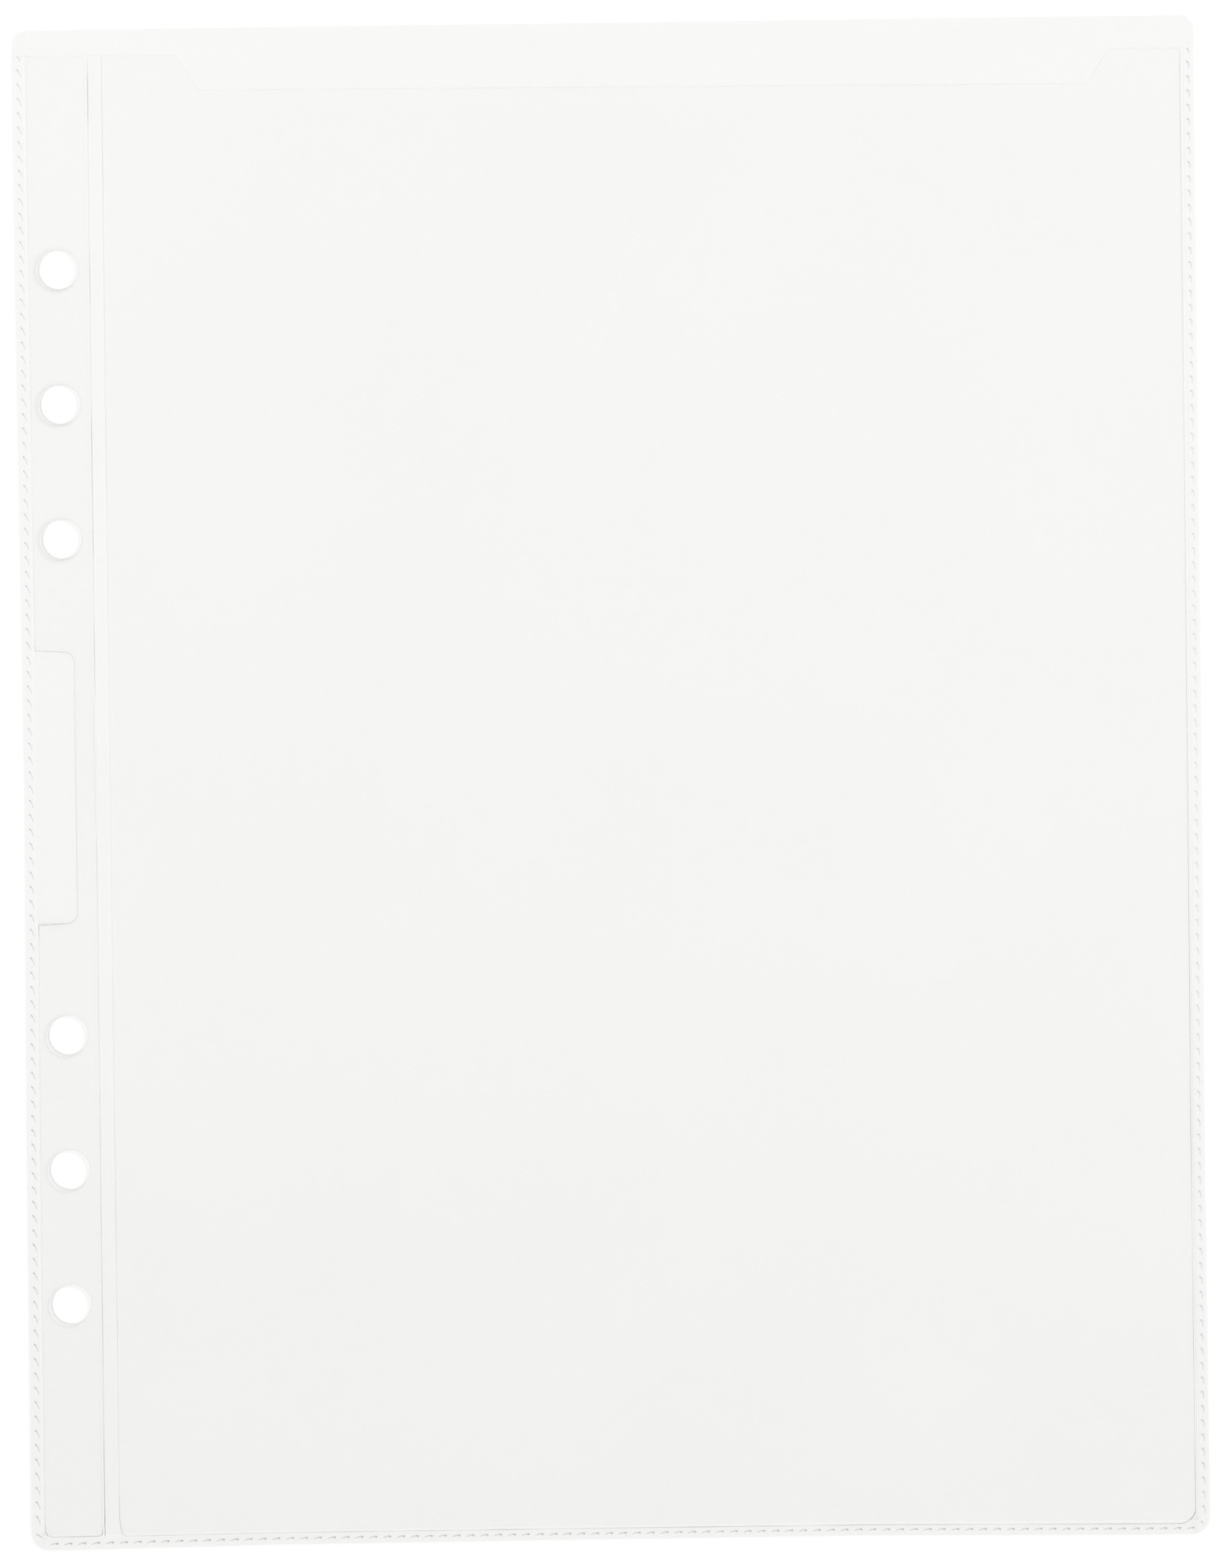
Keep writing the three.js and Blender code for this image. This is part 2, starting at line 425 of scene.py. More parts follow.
def rounded_cell(x, y, left, low, right, radius):
    """Distance inside a cell that is open at the top and has two round lower corners."""
    centre, half = (left + right) / 2, (right - left) / 2
    across = np.abs(x - centre) - half + radius
    down = low - y + radius
    corner = np.hypot(np.maximum(across, 0), np.maximum(down, 0))
    return radius - corner - np.minimum(np.maximum(across, down), 0)


def cell_distance(x, y):
    """Distance inside the nearer of the two cells. The label panel stands in the margin's."""
    margin = rounded_cell(x, y, MARGIN_CELL_LEFT, MARGIN_CELL_LOW, MARGIN_CELL_RIGHT, MARGIN_CELL_CORNER)
    across = x - LABEL_RIGHT + LABEL_INSET + LABEL_CORNER
    up = np.abs(y - LABEL_MIDDLE) - (LABEL_HIGH - LABEL_LOW) / 2 + LABEL_CORNER
    panel = np.hypot(np.maximum(across, 0), np.maximum(up, 0)) + np.minimum(np.maximum(across, up), 0)
    margin = np.minimum(margin, panel - LABEL_CORNER)
    low = POCKET_CELL_LOW - POCKET_CELL_FALL * x / PAGE_WIDTH
    corner = np.where(x < PAGE_WIDTH / 2, *POCKET_CELL_CORNERS)
    pocket = rounded_cell(x, y, POCKET_CELL_LEFT, low, POCKET_CELL_RIGHT, corner)
    return np.maximum(margin, pocket)


def crease_distance(x, y):
    """Distance across the nearer crease, positive towards the pocket."""
    first = x - CREASE_A_FOOT - (CREASE_A_HEAD - CREASE_A_FOOT) * y / PAGE_HEIGHT
    second = x - CREASE_B
    return np.where(np.abs(first) < np.abs(second), first, second)


def drift(x, y):
    """How far each point near the page's edges is moved, so that they bow."""
    across = knots(LEFT_DRIFT, y) * fade(x, DRIFT_REACH, 0)
    across = across + knots(RIGHT_DRIFT, y) * fade(x, PAGE_WIDTH - DRIFT_REACH, PAGE_WIDTH)
    along = knots(BOTTOM_DRIFT, x) * fade(y, DRIFT_REACH, 0)
    along = along + knots(TOP_DRIFT, x) * fade(y, PAGE_HEIGHT - DRIFT_REACH, PAGE_HEIGHT)
    return np.column_stack([across, along, 0 * x])


# How dense the film is, and how strongly the painted shade and highlights of lines and stitches show


def back_density(x, y):
    up = y / PAGE_HEIGHT
    # Painted shade: denser towards the bottom, and towards the upper right against the lamp's light there
    high = BACK_DENSITY_HIGH * fade(x, 0, BACK_DENSITY_HIGH_END) * up**2
    return (BACK_DENSITY + BACK_DENSITY_LOW * (1 - up) + high) * ripple(x, y, *BACK_PATCHES)


def front_density(x, y):
    down = 1 - y / PAGE_HEIGHT
    mouth = FRONT_DENSITY_MOUTH * fade(down, 0, FRONT_DENSITY_MOUTH_END)
    # Painted shade: denser towards the bottom
    return (FRONT_DENSITY + mouth + FRONT_DENSITY_LOW * down**2) * ripple(x, y, *FRONT_PATCHES)


def stitch_force(x, y):
    """How strongly the stitches show: most at the lower left, and least halfway up the right side."""
    low = STITCH_FORCE_LOW * fade(y, PAGE_HEIGHT, 0) * (1 - STITCH_FORCE_FALL * x / PAGE_WIDTH)
    return (STITCH_FORCE + low) * np.where(x > RIGHT_END, knots(RIGHT_STITCHES, y), 1)


def crease_force(x, y):
    """How strongly the crease beside the ring margin shows. The other one shows as the cell's outline."""
    force = stretches(y, CREASE_A_STRETCHES, CREASE_A_ELSEWHERE) * ripple(x, y, *CREASE_PATCHES)
    present = (x < BAR_MIDDLE) & (y < front_edge(x) - CREASE_A_STOP)
    return np.where(present, force * fade(y, *CREASE_A_LOW), 0)


def outline_force(x, y):
    """How strongly the cells' outlines show beside the label panel, welds and bar."""
    margin = stretches(y, MARGIN_STRETCHES, MARGIN_ELSEWHERE)
    crease = stretches(y, CREASE_B_STRETCHES, CREASE_B_ELSEWHERE)
    bottom = stretches(x, BOTTOM_STRETCHES, BOTTOM_ELSEWHERE)
    right = stretches(y, RIGHT_STRETCHES, RIGHT_ELSEWHERE)
    at_label = (np.abs(y - LABEL_MIDDLE) < LABEL_LINE_HALF) & (x < LABEL_LINE_RIGHT)
    places = [at_label, x < BAR_START, x < POCKET_START, y < BOTTOM_LINE_HIGH]
    force = np.select(places, [LABEL_LINE, margin, crease, bottom], right)
    return np.where(y < front_edge(x) - OUTLINE_STOP, force * ripple(x, y, *OUTLINE_PATCHES), 0)


# Making a piece


def joins(places):
    """Whether a face is a wall inside the film, where one piece goes on in the next."""
    for axis, seams in ((0, SEAMS), (1, (BOTTOM_WELD,))):
        flat = np.ptp(places[:, axis]) < SEAM_REACH
        if flat and min(abs(places[0, axis] - seam) for seam in seams) < SEAM_REACH:
            return True
    return False


def make_piece(name, flat, upper, low, top, shade, density, slot):
    """A closed mesh from its upper side: the same faces below, and walls round every edge."""
    points = np.vstack([np.column_stack([flat, top]), np.column_stack([flat, low])])
    count = len(flat)
    directed = {(a, b) for face in upper for a, b in zip(face, face[1:] + face[:1])}
    faces = upper + [[i + count for i in reversed(face)] for face in upper]
    faces += [(a, b, b + count, a + count) for a, b in directed if (b, a) not in directed]

    x, y = points[:, 0], points[:, 1]
    mesh = bpy.data.meshes.new(name)
    centred = (points + drift(x, y) - (PAGE_WIDTH / 2, PAGE_HEIGHT / 2, 0)) / 1000
    mesh.from_pydata(centred.tolist(), [], faces)
    values = {
        "shade": np.tile(shade, 2),
        "film_density": np.tile(density, 2),
        "outline": cell_distance(x, y),
        "outline_force": outline_force(x, y),
        "crease": crease_distance(x, y),
        "crease_force": crease_force(x, y),
    }
    for key, value in values.items():
        mesh.attributes.new(key, "FLOAT", "POINT").data.foreach_set("value", value.astype(np.float32))
    solid = bmesh.new()
    solid.from_mesh(mesh)
    bmesh.ops.recalc_face_normals(solid, faces=solid.faces)
    solid.to_mesh(mesh)
    solid.free()
    surface = np.array([not joins(points[list(p.vertices)]) for p in mesh.polygons], np.float32)
    mesh.attributes.new("surface", "FLOAT", "FACE").data.foreach_set("value", surface)
    corners = np.zeros(len(mesh.loops), np.int32)
    mesh.loops.foreach_get("vertex_index", corners)
    page = points[corners, :2] / PAGE_HEIGHT
    mesh.uv_layers.new(name="Page").data.foreach_set("uv", page.astype(np.float32).ravel())
    mesh.shade_smooth()
    mesh.set_sharp_from_angle(angle=math.radians(SHARP_ANGLE))
    mesh.materials.append(FINISHES[slot])
    piece = bpy.data.objects.new(name, mesh)
    bpy.context.scene.collection.objects.link(piece)
    piece.visible_shadow = "weld" in name
    return piece


def bend(piece):
    """Bakes a piece's placing into its mesh."""
    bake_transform(piece)


# Films: each kind gives its bottom, top, marks and density


def rim_shade_and_density(x, y, holes):
    """Painted shade round the ring holes, strongest at the lower left, and the front film's added density
    close round them.
    """
    shade, density = 0 * x, 0 * x
    for cx, cy in holes:
        distance = np.hypot(x - cx, y - cy)
        facing = (RIM_DARK_SIDE[0] * (x - cx) + RIM_DARK_SIDE[1] * (y - cy)) / distance
        force = RIM_LEAST + (1 - RIM_LEAST) * fade(facing, *RIM_TURN)
        shade = shade + np.interp(distance - HOLE_RADIUS, RIM_KNOTS, RIM_SHADE) * force
        density = density + np.interp(distance - HOLE_RADIUS, RIM_KNOTS, RIM_DENSITY)
    return shade, density


def back_film(x, y, holes):
    shade, _ = rim_shade_and_density(x, y, holes)
    return 0 * x, 0 * x + FILM, BACK_RIM * shade, back_density(x, y)


def front_film(x, y, holes):
    """The front film comes down to the welds, creases and label panel round it, and waves a little."""
    away = np.minimum(cell_distance(x, y) - RAMP_START, RIGHT_END - x)
    sunk = 1 - fade(away, 0, RAMP)
    drop = FRONT_DROP * sunk + (1 - sunk) * ripple(x, y, *WAVE_PATCHES)
    shade, density = rim_shade_and_density(x, y, holes)
    # Painted shade round the holes, and painted shade and highlight along the mouth
    shade = FRONT_RIM * shade + knots(MOUTH_SHADE, below_mouth(x, y)) * ripple(x, y, *MOUTH_PATCHES)
    return FRONT_LOW - drop, FRONT_TOP - drop, shade, np.maximum(front_density(x, y), density)


def panel_film(x, y, holes):
    density = PANEL_DENSITY_SHARE * (back_density(x, y) + front_density(x, y))
    return 0 * x + PANEL_LOW, 0 * x + PANEL_TOP, 0 * x, density


def mouth_points(columns, outline):
    """Rows of points close below the mouth's edge, which carry the line along it."""
    reaches = [k for k, _ in MOUTH_SHADE[1:]]
    slants = [start + t * NOTCH_RUN for start in (MOUTH[1], MOUTH[3]) for t in SLANT_STEPS]
    points = [(x, mouth_edge(x) - k) for x in columns for k in reaches]
    points += [(x, mouth_edge(x) - k * NOTCH_STEEPNESS) for x in slants for k in reaches]
    points = np.array(points)
    return points[inside(points, outline)].tolist()


def grid_points(columns, rows, outline, holes):
    """The grid's points inside an outline, clear of the rings round its holes."""
    grid = np.array([(x, y) for x in columns for y in rows])
    keep = inside(grid, outline)
    for cx, cy in holes:
        reach = HOLE_RADIUS + RIM_KNOTS[-1] + HOLE_CLEARANCE
        keep &= np.hypot(grid[:, 0] - cx, grid[:, 1] - cy) > reach
    return grid[keep].tolist()


def filled(loops, others):
    """Triangles inside the first loop and outside the rest, through the other points."""
    points, borders = [], []
    for loop in loops:
        first = len(points)
        points += loop
        borders += [(first + i, first + (i + 1) % len(loop)) for i in range(len(loop))]
    corners = [Vector(p) for p in points + others]
    found = geometry.delaunay_2d_cdt(corners, borders, [], 0, 1e-6, False)
    flat = np.array(found[0])
    triangles = np.array(found[2])
    centres = flat[triangles].mean(axis=1)
    solid = inside(centres, loops[0])
    for loop in loops[1:]:
        solid &= ~inside(centres, loop)
    used, triangles = np.unique(triangles[solid], return_inverse=True)
    return flat[used], triangles.reshape(-1, 3).tolist()


def make_film(name, kind, outline, columns, rows, holes=(), slot="clear_film"):
    """One film as a sheet of triangles, with rings of points round its holes."""
    loops = [outline]
    others = []
    for cx, cy in holes:
        loops.append(arc(cx, cy, HOLE_RADIUS, 0, 360, HOLE_SEGMENTS)[:-1])
        for out in RIM_KNOTS[1:]:
            others += arc(cx, cy, HOLE_RADIUS + out, 0, 360, HOLE_SEGMENTS)[:-1]
    others += grid_points(columns, rows, outline, holes)
    if kind is front_film:
        others += mouth_points(columns, outline)
    flat, triangles = filled(loops, others)
    return make_piece(name, flat, triangles, *kind(flat[:, 0], flat[:, 1], holes), slot)


# Crease strips and binding bar


def grid_faces(wide, high, first=0):
    """Four-sided faces over a grid of points that are numbered row by row."""
    corners = [first + j * wide + i for j in range(high - 1) for i in range(wide - 1)]
    return [(a, a + 1, a + wide + 1, a + wide) for a in corners]


def binding(x, y):
    """Bottom, top, marks and density of the strip: the films' full height at its ends, less between."""
    lip = y > front_edge(x)
    out = np.abs(x - BAR_MIDDLE) - (BAR_END - BAR_START) / 2 - BAR_RISE_START
    rise = fade(out, 0, BAR_RISE)
    groove = GROOVE_DEPTH * np.clip(1 - np.abs(crease_distance(x, y)) / GROOVE_REACH, 0, 1)
    low = BAR_LOW * (1 - rise) + groove
    top = BAR_TOP + (FRONT_TOP - FRONT_DROP - BAR_TOP) * rise - groove
    # Painted highlights along the bar's two sides, and the bar a little clearer between them
    shade = knots(BAR_SHADE, x) * knots(BAR_FADE, y) * ripple(x, y, *BAR_PATCHES)
    density = back_density(x, y) + np.where(lip, 0, front_density(x, y))
    return np.where(lip, 0, low), np.where(lip, FILM, top), np.where(lip, 0, shade), density


def make_strip(name, left, right):
    """A strip of the fused binding, from the bottom weld to the page's top edge."""
    columns = np.array(spread(left, right, step=STRIP_STEP))
    edge = front_edge(columns)
    below = spread(BOTTOM_WELD, front_edge(left) - LIP_CLEARANCE, step=STRIP_ROW_STEP)
    above = spread(front_edge(left) + LIP_CLEARANCE, PAGE_HEIGHT, step=STRIP_LIP_STEP)
    rows = [0 * columns + y for y in below]
    rows += [edge - LIP_STEP, edge + LIP_STEP]
    rows += [0 * columns + y for y in above]
    x, y = np.tile(columns, len(rows)), np.concatenate(rows)
    faces = grid_faces(len(columns), len(rows))
    return make_piece(name, np.column_stack([x, y]), faces, *binding(x, y), "fused_film")


# Stitched welds, on a path that runs down the left side, along the bottom and up the right side

CORNER_RUN = BOTTOM_CORNER * math.pi / 2
FIRST_CORNER = front_edge(0) - BOTTOM_CORNER
FIRST_STRAIGHT = FIRST_CORNER + CORNER_RUN
SECOND_CORNER = FIRST_STRAIGHT + PAGE_WIDTH - 2 * BOTTOM_CORNER
LAST_STRAIGHT = SECOND_CORNER + CORNER_RUN
PATH_END = LAST_STRAIGHT + front_edge(PAGE_WIDTH) - BOTTOM_CORNER


def on_path(s, d):
    """The page point at distance s along the path, and d in from the page's edge."""
    r = BOTTOM_CORNER
    first = (s - FIRST_CORNER) / r
    second = (s - SECOND_CORNER) / r
    places = [s < FIRST_CORNER, s < FIRST_STRAIGHT, s < SECOND_CORNER, s < LAST_STRAIGHT]
    x = np.select(
        places,
        [d, r - (r - d) * np.cos(first), r + s - FIRST_STRAIGHT, PAGE_WIDTH - r + (r - d) * np.sin(second)],
        PAGE_WIDTH - d,
    )
    y = np.select(
        places,
        [front_edge(0) - s, r - (r - d) * np.sin(first), d, r - (r - d) * np.cos(second)],
        r + s - LAST_STRAIGHT,
    )
    return x, y


def weld_width(s):
    turn = fade(s, FIRST_CORNER, FIRST_STRAIGHT) * fade(s, LAST_STRAIGHT, SECOND_CORNER)
    return EDGE_WELD + (BOTTOM_WELD - EDGE_WELD) * turn


def by_side(s, values):
    """A value that holds on the left, bottom and right sides, and changes at the round corners."""
    left, bottom, right = values
    turns = [FIRST_CORNER, FIRST_STRAIGHT, SECOND_CORNER, LAST_STRAIGHT]
    return np.interp(s, turns, [left, bottom, bottom, right])


def stitch_places():
    """Where the stitches lie along the path, with one at each round corner."""
    left = front_edge(0) - np.linspace(*LEFT_ROW, SIDE_STITCHES)
    bottom = FIRST_STRAIGHT - BOTTOM_CORNER + np.linspace(*BOTTOM_ROW, BOTTOM_STITCHES)
    right = LAST_STRAIGHT - BOTTOM_CORNER + np.linspace(*RIGHT_ROW, SIDE_STITCHES)
    corners = np.array([FIRST_CORNER, SECOND_CORNER]) + np.array(CORNER_STITCHES) * CORNER_RUN
    return np.sort(np.concatenate([left, bottom, right, corners]))


def square_walk():
    """Points round a square from -1 to 1, CELL_SIDE to a side, starting at a corner."""
    steps = np.linspace(-1, 1, CELL_SIDE + 1)[:-1]
    walk = [(t, -1.0) for t in steps] + [(1.0, t) for t in steps]
    return np.array(walk + [(-t, 1.0) for t in steps] + [(-1.0, -t) for t in steps])


def stitch_shade(rim, centre, place, width):
    """How dark the sides of a stitch are: most where they face away from the light, below 0 opposite."""
    slope = np.sign(rim) * np.abs(rim) ** (STITCH_ROUNDNESS - 1) / (STITCH_LENGTH, width)
    slope = slope / np.hypot(*slope.T)[:, None]
    x, y = on_path(np.array([centre, centre + PATH_STEP]), np.array([place, place]))
    ahead = np.array([x[1] - x[0], y[1] - y[0]])
    ahead = ahead / np.hypot(*ahead)
    inwards = np.array([-ahead[1], ahead[0]])
    outward = slope[:, :1] * ahead + slope[:, 1:] * inwards
    return np.maximum(outward @ np.array(DARK_SIDE) + DARK_SPREAD, LIT_LEAST)


def weld_cell(start, centre, end):
    """One stitch and the weld round it: places along and in from the edge, how deep, and their painted
    shade and highlight.
    """
    parts = []

    def add(s, d, sunk=0.0, mark=0.0):
        parts.append([s, d, 0 * s + sunk, 0 * s + mark])

    low, high = STITCH_BAND
    columns = np.linspace(start, end, CELL_SIDE + 1)
    for d in OUTER_ROWS:
        add(columns, d + 0 * columns)
    for share in INNER_SHARES:
        add(columns, high + share * (weld_width(columns) - high))
    walk = square_walk()
    along = (start + end) / 2 + walk[:, 0] * (end - start) / 2
    add(along, (low + high) / 2 + walk[:, 1] * (high - low) / 2)
    place, width, lean = (by_side(centre, v) for v in (STITCH_FROM_EDGE, STITCH_WIDTHS, STITCH_LEAN))
    round_off = (np.abs(walk) ** STITCH_ROUNDNESS).sum(axis=1) ** (1 / STITCH_ROUNDNESS)
    rim = walk / round_off[:, None]
    middle = np.array([centre]), np.array([place])
    force = stitch_force(*on_path(*middle))[0]
    # Painted shade on the stitch's side towards DARK_SIDE, and painted highlight opposite
    dark = force * stitch_shade(rim, centre, place, width)
    room = min(centre - start, end - centre) - STITCH_GAP
    reach = min(STITCH_LENGTH / 2, room / RING_SIZES[0])
    for size, sunk, mark in zip(RING_SIZES, RING_DEPTHS, RING_SHADES):
        s = rim[:, 0] * reach * size
        d = rim[:, 1] * width / 2 * size + lean * s
        add(centre + s, place + d, sunk, mark * dark)
    add(*middle, 1.0, CENTRE_SHADE * force)
    return np.hstack(parts)


def cell_faces():
    """The faces of one cell: its outer and inner rows, the rings of its stitch, and the stitch's middle."""
    wide = CELL_SIDE + 1
    ring = 4 * CELL_SIDE
    outer, inner = len(OUTER_ROWS), len(INNER_SHARES)
    faces = grid_faces(wide, outer) + grid_faces(wide, inner, outer * wide)
    first = (outer + inner) * wide
    middle = first + (len(RING_SIZES) + 1) * ring
    for a in range(first, middle, ring):
        for i in range(ring):
            side = a + i, a + (i + 1) % ring
            inwards = (side[1] + ring, side[0] + ring) if a + ring < middle else (middle,)
            faces.append(side + inwards)
    return faces


def make_weld(name, cells):
    """A run of stitched weld, whose cells are joined where their points meet."""
    data = [weld_cell(*cell) for cell in cells]
    along, across, sunk, shade = np.hstack(data)
    x, y = on_path(along, across)
    low = knots(WELD_LOW, across) + STITCH_UNDERSIDE * STITCH_DEPTH * sunk
    top = knots(WELD_TOP, across) - STITCH_DEPTH * sunk
    at_side = (along < FIRST_STRAIGHT) | (along > SECOND_CORNER)
    at_label = (x < PAGE_WIDTH / 2) & (y > LABEL_LOW) & (y < LABEL_HIGH)
    # Painted shade and highlight along the weld's inner side
    line = knots(WELD_LINE, across) * np.where(at_side, 1, BOTTOM_WELD_LINE) * ripple(x, y, *WELD_PATCHES)
    shade = shade + np.where(at_label | (sunk > 0), 0, line)
    density = WELD_DENSITY_SHARE * (back_density(x, y) + front_density(x, y))

    flat = np.column_stack([x, y])
    keys = np.round(flat * POINTS_PER_MM).astype(np.int64)
    _, chosen, where = np.unique(keys, axis=0, return_index=True, return_inverse=True)
    where = where.ravel().tolist()
    cell = cell_faces()
    shifts = range(0, len(flat), data[0].shape[1])
    faces = [[where[i + shift] for i in face] for shift in shifts for face in cell]
    values = (value[chosen] for value in (low, top, shade, density))
    return make_piece(name, flat[chosen], faces, *values, "fused_film")


# Shader nodes


def node(tree, kind, **settings):
    made = tree.nodes.new(kind)
    for key, value in settings.items():
        setattr(made, key, value)
    return made


def feed(tree, socket, value):
    """Gives a socket a value of its own, or links it to another socket."""
    if isinstance(value, bpy.types.NodeSocket):
        tree.links.new(value, socket)
    else:
        socket.default_value = value


def maths(tree, operation, *values, clamp=False):
    made = node(tree, "ShaderNodeMath", operation=operation, use_clamp=clamp)
    for socket, value in zip(made.inputs, values):
        feed(tree, socket, value)
    return made.outputs[0]


def attribute(tree, key):
    return node(tree, "ShaderNodeAttribute", attribute_name=key).outputs["Fac"]


def ranged(tree, value, low, high, to_low, to_high):
    """A value carried from one range over to another."""
    made = node(tree, "ShaderNodeMapRange")
    names = ("Value", "From Min", "From Max", "To Min", "To Max")
    for key, number in zip(names, (value, low, high, to_low, to_high)):
        feed(tree, made.inputs[key], number)
    return made.outputs["Result"]


def mixed(tree, factor, first, second):
    """A colour between two others."""
    made = node(tree, "ShaderNodeMix", data_type="RGBA")
    for key, value in (("Factor", factor), ("A", first), ("B", second)):
        feed(tree, made.inputs[key], value)
    return made.outputs["Result"]


# Film material


def line_shade_and_highlight(tree, key, reach, stops):
    """The painted shade and highlight of one kind of line: its section over its distance, times its
    strength there.
    """
    ramp = node(tree, "ShaderNodeValToRGB")
    feed(tree, ramp.inputs["Fac"], ranged(tree, attribute(tree, key), -reach, reach, 0, 1))
    elements = ramp.color_ramp.elements
    while len(elements) < len(stops):
        elements.new(0.5)
    for element, (at, mark) in zip(elements, stops):
        element.position = (at + reach) / (2 * reach)
        element.color = [0.5 + 0.5 * mark] * 3 + [1]
    section = maths(tree, "MULTIPLY_ADD", ramp.outputs["Color"], 2.0, -1.0)
    return maths(tree, "MULTIPLY", section, attribute(tree, f"{key}_force"))


def film_opacity(tree, marks, dark):
    """The film's density, less along painted highlights, and more along painted shade or where it is seen
    at a slant.
    """
    clear = maths(tree, "MAXIMUM", maths(tree, "MULTIPLY", marks, -1.0), 0.0)
    kept = maths(tree, "SUBTRACT", 1.0, clear, clamp=True)
    opacity = maths(tree, "MULTIPLY", attribute(tree, "film_density"), kept)
    opacity = maths(tree, "ADD", opacity, maths(tree, "MULTIPLY", dark, DARK_OPACITY))
    weight = node(tree, "ShaderNodeLayerWeight")
    weight.inputs["Blend"].default_value = 0.5
    grazing = maths(tree, "POWER", weight.outputs["Facing"], GRAZING_POWER)
    grazing = maths(tree, "MULTIPLY", grazing, GRAZING_OPACITY)
    opacity = maths(tree, "ADD", opacity, grazing, clamp=True)
    return maths(tree, "MULTIPLY", opacity, attribute(tree, "surface"))


def film_material(name, tint, roughness):
    """Clear film: see-through and a little grey, with painted shade where its marks are dark and painted
    highlights where they are clear.
    """
    material = bpy.data.materials.new(name)
    material.use_nodes = True
    tree = material.node_tree
    tree.nodes.clear()

    grain = node(tree, "ShaderNodeTexNoise", noise_dimensions="2D")
    feed(tree, grain.inputs["Vector"], node(tree, "ShaderNodeUVMap", uv_map="Page").outputs["UV"])
    feed(tree, grain.inputs["Scale"], PAGE_HEIGHT * GRAIN_PER_MM)
    feed(tree, grain.inputs["Detail"], 1.0)
    grain = grain.outputs["Fac"]

    cell_line = line_shade_and_highlight(tree, "outline", CELL_LINE_REACH, CELL_LINE)
    crease_line = line_shade_and_highlight(tree, "crease", CREASE_LINE_REACH, CREASE_LINE)
    # Painted shade above 0 and painted highlights below 0, from the marks, the cells' outlines and the
    # crease
    marks = maths(tree, "ADD", maths(tree, "ADD", attribute(tree, "shade"), cell_line), crease_line)
    dark = maths(tree, "MAXIMUM", marks, 0.0)
    other_tint = [c * w for c, w in zip(tint, TINT_CHANGE)]
    colour = mixed(tree, ranged(tree, grain, *GRAIN_RANGE, 0, 1), (*tint, 1), (*other_tint, 1))
    # Along dark marks the film's colour turns towards the painted shade colour
    colour = mixed(tree, maths(tree, "MULTIPLY", dark, PAINTED_SHADE_RISE, clamp=True), colour, (*PAINTED_SHADE_COLOUR, 1))

    shader = node(tree, "ShaderNodeBsdfPrincipled")
    feed(tree, shader.inputs["Base Color"], colour)
    feed(tree, shader.inputs["Alpha"], film_opacity(tree, marks, dark))
    low, high = (roughness + change for change in ROUGHNESS_CHANGE)
    feed(tree, shader.inputs["Roughness"], ranged(tree, grain, *GRAIN_RANGE, low, high))
    feed(tree, shader.inputs["IOR"], FILM_IOR)
    bump = node(tree, "ShaderNodeBump")
    feed(tree, bump.inputs["Strength"], GRAIN_STRENGTH)
    feed(tree, bump.inputs["Distance"], GRAIN_HEIGHT)
    feed(tree, bump.inputs["Height"], grain)
    feed(tree, shader.inputs["Normal"], bump.outputs["Normal"])
    output = node(tree, "ShaderNodeOutputMaterial")
    feed(tree, output.inputs["Surface"], shader.outputs["BSDF"])
    return material


FINISHES = {
    "clear_film": film_material("clear_film", CLEAR_TINT, CLEAR_ROUGHNESS),
    "fused_film": film_material("fused_film", FUSED_TINT, FUSED_ROUGHNESS),
}

# Outlines and grids of the films


def label_bay():
    """The label panel's outline, from its lower left corner round to its upper left one."""
    corner = LABEL_RIGHT - LABEL_CORNER
    lower = arc(corner, LABEL_LOW + LABEL_CORNER, LABEL_CORNER, 270, 360)
    upper = arc(corner, LABEL_HIGH - LABEL_CORNER, LABEL_CORNER, 0, 90)
    return [(LABEL_LEFT, LABEL_LOW)] + lower + upper + [(LABEL_LEFT, LABEL_HIGH)]


def holes(side):
    """The ring holes of one film, slipped a little to one side and along the page, more so lower down."""
    slips = [HOLE_SLIP_FOOT + (HOLE_SLIP_HEAD - HOLE_SLIP_FOOT) * h / PAGE_HEIGHT for h in HOLE_HEIGHTS]
    return [(HOLE_X + side * HOLE_SLIP_ACROSS, h + side * slip) for h, slip in zip(HOLE_HEIGHTS, slips)]


fine, coarse = MARGIN_ROW_STEPS
margin_rows = spread(BOTTOM_WELD, FINE_ROWS_END, step=fine)[:-1]
margin_rows += spread(FINE_ROWS_END, *LABEL_ROWS, MARGIN_ROWS_END, step=coarse)
fine, coarse, last = MARGIN_COLUMN_STEPS
margin_columns = spread(EDGE_WELD, MARGIN_FINE_END, step=fine)[:-1]
margin_columns += spread(MARGIN_FINE_END, BESIDE_LABEL, step=coarse)[:-1]
margin_columns += spread(BESIDE_LABEL, MARGIN_END, step=last)
fine, coarse = POCKET_ROW_STEPS
pocket_rows = spread(BOTTOM_WELD, FINE_ROWS_END, step=fine)[:-1]
pocket_rows += spread(FINE_ROWS_END, POCKET_ROWS_END, step=coarse)
fine, coarse, last = POCKET_COLUMN_STEPS
pocket_columns = spread(POCKET_START, POCKET_FINE_END, step=fine)[:-1]
pocket_columns += spread(POCKET_FINE_END, *MOUTH[1:4], POCKET_COARSE_END, step=coarse)
pocket_columns += spread(POCKET_LAST_FINE, RIGHT_END, step=last) + [POCKET_MIDDLE]

# Ring margin's films

